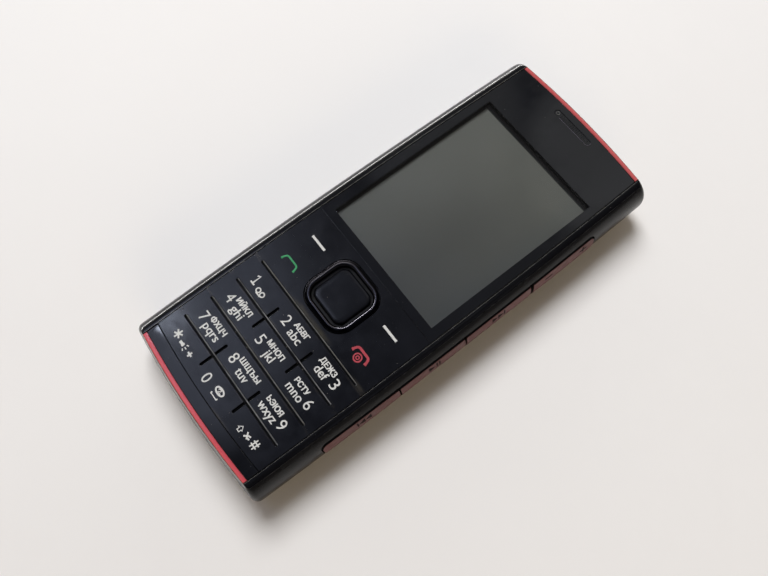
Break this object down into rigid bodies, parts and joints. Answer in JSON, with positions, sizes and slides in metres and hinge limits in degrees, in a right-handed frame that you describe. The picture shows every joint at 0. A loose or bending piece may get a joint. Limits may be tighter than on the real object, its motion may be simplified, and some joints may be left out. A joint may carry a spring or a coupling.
{
  "type": "candybar mobile phone",
  "caption": "Slim candybar mobile phone with an upright display, round-cornered navigation ring, flat key sheet with long slots, side keys and a lift-off battery cover.",
  "frame": {"origin": "middle of the bounding box's bottom, on the back plane that the phone lies on", "axes": "+Z out of the front face, +Y along the phone to the earpiece end, +X to the side with the music and volume keys"},
  "size_m": [0.047, 0.111, 0.0133],
  "materials": {
    "gloss_black": "polished, near black, slightly blue",
    "side_key_red": "dull dark red, fine satin",
    "trim_red": "bright red, glossy",
    "dark_chrome": "black chrome, polished",
    "black_plastic": "fine matt",
    "clear_window": "clear, polished",
    "dark_window": "dark tinted, polished",
    "display_grey": "switched off display, warm grey",
    "sheet_steel": "plain sheet metal",
    "grey_rubber": "silicone rubber",
    "white_film": "polyester film",
    "board_green": "solder mask",
    "flex_amber": "polyimide film",
    "nickel": "nickel plated",
    "satin_grey": "dark grey satin paint",
    "back_black": "soft matt black",
    "battery_grey": "plain wrapped pack",
    "card_white": "plain card"
  },
  "bodies": {
    "housing": {"antenna_carrier": "black_plastic", "battery_connector": "black_plastic", "bottom_strip": "gloss_black", "bottom_trim": "trim_red", "camera_module": "black_plastic", "camera_window": "dark_window", "card_holder": "sheet_steel", "charging_jack": "nickel", "circuit_board": "board_green", "display_frame": "sheet_steel", "display_glass": "display_grey", "display_window": "clear_window", "dome_sheet": "white_film", "earpiece_mesh": "sheet_steel", "earpiece_speaker": "black_plastic", "face_panel": "gloss_black", "flash_lens": "clear_window", "front_cover": "gloss_black", "headset_jack": "black_plastic", "housing_screws": "sheet_steel", "keypad_mat": "grey_rubber", "loudspeaker_left": "black_plastic", "loudspeaker_right": "black_plastic", "microphone": "sheet_steel", "nav_plate": "gloss_black", "rear_housing": "back_black", "shield_cans": "sheet_steel", "side_frame": "satin_grey", "side_key_flex": "flex_amber", "top_trim": "trim_red", "usb_socket": "sheet_steel", "vibration_motor": "sheet_steel"},
    "key_1_body": {"key_1": "gloss_black"},
    "key_2_body": {"key_2": "gloss_black"},
    "key_3_body": {"key_3": "gloss_black"},
    "key_4_body": {"key_4": "gloss_black"},
    "key_5_body": {"key_5": "gloss_black"},
    "key_6_body": {"key_6": "gloss_black"},
    "key_7_body": {"key_7": "gloss_black"},
    "key_8_body": {"key_8": "gloss_black"},
    "key_9_body": {"key_9": "gloss_black"},
    "key_star_body": {"key_star": "gloss_black"},
    "key_0_body": {"key_0": "gloss_black"},
    "key_hash_body": {"key_hash": "gloss_black"},
    "soft_key_left_body": {"soft_key_left": "gloss_black"},
    "soft_key_right_body": {"soft_key_right": "gloss_black"},
    "call_key_body": {"call_key": "gloss_black"},
    "end_key_body": {"end_key": "gloss_black"},
    "centre_key_body": {"centre_key": "gloss_black"},
    "previous_key_body": {"previous_key": "side_key_red"},
    "play_key_body": {"play_key": "side_key_red"},
    "next_key_body": {"next_key": "side_key_red"},
    "volume_rocker_body": {"volume_rocker": "side_key_red"},
    "nav_rocker_body": {"nav_rocker": "black_plastic"},
    "nav_ring_body": {"nav_ring": "dark_chrome"},
    "rear_cover_body": {"rear_cover": "back_black"},
    "battery_body": {"battery": "battery_grey"},
    "sim_card_body": {"sim_card": "card_white"},
    "memory_card_body": {"memory_card": "black_plastic"},
    "usb_cover_body": {"usb_cover": "satin_grey"}
  },
  "joints": [
    {"name": "key_1_press", "type": "slide", "parent": "housing", "child": "key_1_body", "axis": [0, 0, -1], "range_m": [0, 0.00025], "stiffness_N_per_m": 2000},
    {"name": "key_2_press", "type": "slide", "parent": "housing", "child": "key_2_body", "axis": [0, 0, -1], "range_m": [0, 0.00025], "stiffness_N_per_m": 2000},
    {"name": "key_3_press", "type": "slide", "parent": "housing", "child": "key_3_body", "axis": [0, 0, -1], "range_m": [0, 0.00025], "stiffness_N_per_m": 2000},
    {"name": "key_4_press", "type": "slide", "parent": "housing", "child": "key_4_body", "axis": [0, 0, -1], "range_m": [0, 0.00025], "stiffness_N_per_m": 2000},
    {"name": "key_5_press", "type": "slide", "parent": "housing", "child": "key_5_body", "axis": [0, 0, -1], "range_m": [0, 0.00025], "stiffness_N_per_m": 2000},
    {"name": "key_6_press", "type": "slide", "parent": "housing", "child": "key_6_body", "axis": [0, 0, -1], "range_m": [0, 0.00025], "stiffness_N_per_m": 2000},
    {"name": "key_7_press", "type": "slide", "parent": "housing", "child": "key_7_body", "axis": [0, 0, -1], "range_m": [0, 0.00025], "stiffness_N_per_m": 2000},
    {"name": "key_8_press", "type": "slide", "parent": "housing", "child": "key_8_body", "axis": [0, 0, -1], "range_m": [0, 0.00025], "stiffness_N_per_m": 2000},
    {"name": "key_9_press", "type": "slide", "parent": "housing", "child": "key_9_body", "axis": [0, 0, -1], "range_m": [0, 0.00025], "stiffness_N_per_m": 2000},
    {"name": "key_star_press", "type": "slide", "parent": "housing", "child": "key_star_body", "axis": [0, 0, -1], "range_m": [0, 0.00025], "stiffness_N_per_m": 2000},
    {"name": "key_0_press", "type": "slide", "parent": "housing", "child": "key_0_body", "axis": [0, 0, -1], "range_m": [0, 0.00025], "stiffness_N_per_m": 2000},
    {"name": "key_hash_press", "type": "slide", "parent": "housing", "child": "key_hash_body", "axis": [0, 0, -1], "range_m": [0, 0.00025], "stiffness_N_per_m": 2000},
    {"name": "soft_key_left_press", "type": "slide", "parent": "housing", "child": "soft_key_left_body", "axis": [0, 0, -1], "range_m": [0, 0.00025], "stiffness_N_per_m": 2000},
    {"name": "soft_key_right_press", "type": "slide", "parent": "housing", "child": "soft_key_right_body", "axis": [0, 0, -1], "range_m": [0, 0.00025], "stiffness_N_per_m": 2000},
    {"name": "call_key_press", "type": "slide", "parent": "housing", "child": "call_key_body", "axis": [0, 0, -1], "range_m": [0, 0.00025], "stiffness_N_per_m": 2000},
    {"name": "end_key_press", "type": "slide", "parent": "housing", "child": "end_key_body", "axis": [0, 0, -1], "range_m": [0, 0.00025], "stiffness_N_per_m": 2000},
    {"name": "centre_key_press", "type": "slide", "parent": "housing", "child": "centre_key_body", "axis": [0, 0, -1], "range_m": [0, 0.00025], "stiffness_N_per_m": 2000},
    {"name": "previous_key_press", "type": "slide", "parent": "housing", "child": "previous_key_body", "axis": [-1, 0, 0], "range_m": [0, 0.00025], "stiffness_N_per_m": 2000},
    {"name": "play_key_press", "type": "slide", "parent": "housing", "child": "play_key_body", "axis": [-1, 0, 0], "range_m": [0, 0.00025], "stiffness_N_per_m": 2000},
    {"name": "next_key_press", "type": "slide", "parent": "housing", "child": "next_key_body", "axis": [-1, 0, 0], "range_m": [0, 0.00025], "stiffness_N_per_m": 2000},
    {"name": "volume_rocker_tilt", "type": "hinge", "parent": "housing", "child": "volume_rocker_body", "pos_m": [0.0222, 0.0282, 0.0084], "axis": [0, 0, 1], "range_deg": [-0.8, 0.8], "stiffness_Nm_per_rad": 0.4},
    {"name": "nav_left_right_tilt", "type": "hinge", "parent": "housing", "child": "nav_rocker_body", "pos_m": [0, -0.0154, 0.012], "axis": [0, 1, 0], "range_deg": [-1.2, 1.2], "stiffness_Nm_per_rad": 0.3},
    {"name": "nav_up_down_tilt", "type": "hinge", "parent": "nav_rocker_body", "child": "nav_ring_body", "pos_m": [0, -0.0154, 0.0123], "axis": [1, 0, 0], "range_deg": [-1.2, 1.2], "stiffness_Nm_per_rad": 0.3},
    {"name": "rear_cover_lift", "type": "slide", "parent": "housing", "child": "rear_cover_body", "axis": [0, 0, -1], "range_m": [0, 0.018]},
    {"name": "battery_lift", "type": "slide", "parent": "housing", "child": "battery_body", "axis": [0, 0, -1], "range_m": [0, 0.009]},
    {"name": "sim_card_slide", "type": "slide", "parent": "housing", "child": "sim_card_body", "axis": [0, -1, 0], "range_m": [0, 0.012]},
    {"name": "memory_card_slide", "type": "slide", "parent": "housing", "child": "memory_card_body", "axis": [0, -1, 0], "range_m": [0, 0.014]},
    {"name": "usb_cover_swing", "type": "hinge", "parent": "housing", "child": "usb_cover_body", "pos_m": [-0.0048, 0.05544, 0.0074], "axis": [0, 0, 1], "range_deg": [0, 100]}
  ],
  "couplings": [
    {"joint": "battery_lift", "follows": "rear_cover_lift", "ratio": 0.5}
  ]
}
